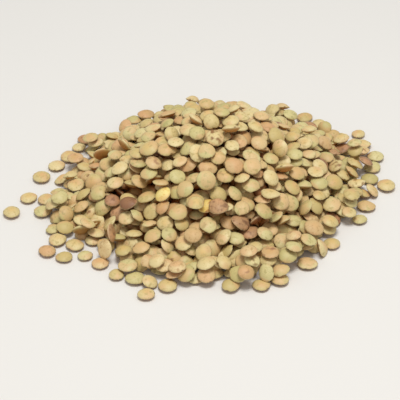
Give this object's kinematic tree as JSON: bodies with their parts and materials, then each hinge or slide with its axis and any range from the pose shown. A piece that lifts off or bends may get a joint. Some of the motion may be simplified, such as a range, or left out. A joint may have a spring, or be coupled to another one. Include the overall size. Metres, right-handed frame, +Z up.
{
  "type": "heap of dry lentils",
  "caption": "Bare heap of dry green lentils as poured out on a flat surface, broad and cone-shaped with a ragged foot, and loose lentils round it.",
  "frame": {"origin": "on the table, under the middle of the heap", "axes": "+Z up, +X to the right and -Y towards the side that the picture shows"},
  "size_m": [0.1432, 0.1148, 0.0345],
  "materials": {
    "lentils": "matt"
  },
  "bodies": {
    "root": {"lentil_heap": "lentils", "loose_lentil_01": "lentils", "loose_lentil_02": "lentils", "loose_lentil_03": "lentils", "loose_lentil_04": "lentils", "loose_lentil_05": "lentils", "loose_lentil_06": "lentils", "loose_lentil_07": "lentils", "loose_lentil_08": "lentils", "loose_lentil_09": "lentils", "loose_lentil_10": "lentils", "loose_lentil_11": "lentils", "loose_lentil_12": "lentils", "loose_lentil_13": "lentils", "loose_lentil_14": "lentils", "loose_lentil_15": "lentils", "loose_lentil_16": "lentils", "loose_lentil_17": "lentils", "loose_lentil_18": "lentils", "loose_lentil_19": "lentils", "loose_lentil_20": "lentils", "loose_lentil_21": "lentils", "loose_lentil_22": "lentils", "loose_lentil_23": "lentils", "loose_lentil_24": "lentils", "loose_lentil_25": "lentils", "loose_lentil_26": "lentils", "loose_lentil_27": "lentils", "loose_lentil_28": "lentils", "loose_lentil_29": "lentils", "loose_lentil_30": "lentils", "loose_lentil_31": "lentils", "loose_lentil_32": "lentils", "loose_lentil_33": "lentils", "loose_lentil_34": "lentils"}
  },
  "joints": []
}
